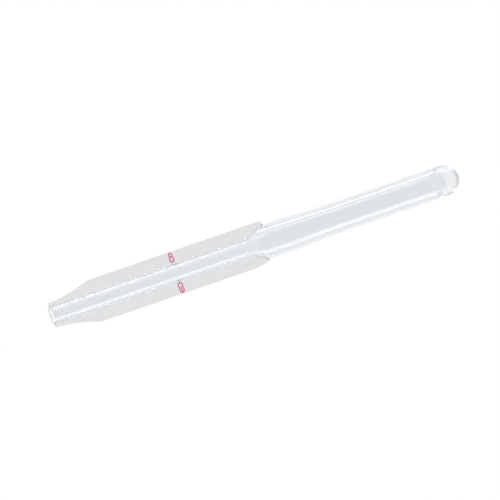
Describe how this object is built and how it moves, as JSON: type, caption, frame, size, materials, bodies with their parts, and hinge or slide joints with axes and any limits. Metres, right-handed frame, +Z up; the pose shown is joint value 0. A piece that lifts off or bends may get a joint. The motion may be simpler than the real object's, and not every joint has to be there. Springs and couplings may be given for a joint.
{
  "type": "transfer pipette",
  "caption": "Clear plastic transfer pipette: open round channel between two flat wings, a long round squeeze bulb with a sealed end, and a red fill mark on each wing.",
  "frame": {"origin": "centre of the open mouth, on the channel's axis", "axes": "+X along the channel from the mouth to the closed end of the bulb, +Y across the wings to the left wing, +Z up, square to the wings"},
  "size_m": [0.15, 0.0146, 0.0116],
  "materials": {
    "clear_plastic": "gloss",
    "red_ink": "satin"
  },
  "bodies": {
    "pipette": {"barrel_upper_wall": "clear_plastic", "barrel_lower_wall": "clear_plastic", "bulb_shoulder": "clear_plastic", "bulb_left_wall": "clear_plastic", "bulb_right_wall": "clear_plastic", "bulb_closed_end": "clear_plastic", "fill_mark_left": "red_ink", "fill_mark_right": "red_ink"},
    "thumb_wall": {"bulb_thumb_wall": "clear_plastic"},
    "finger_wall": {"bulb_finger_wall": "clear_plastic"}
  },
  "joints": [
    {"name": "thumb_squeeze", "type": "slide", "parent": "pipette", "child": "thumb_wall", "axis": [0, 0, -1], "range_m": [0, 0.003], "stiffness_N_per_m": 500},
    {"name": "finger_squeeze", "type": "slide", "parent": "pipette", "child": "finger_wall", "axis": [0, 0, 1], "range_m": [0, 0.003], "stiffness_N_per_m": 500}
  ],
  "couplings": [
    {"joint": "finger_squeeze", "follows": "thumb_squeeze", "ratio": 1}
  ]
}
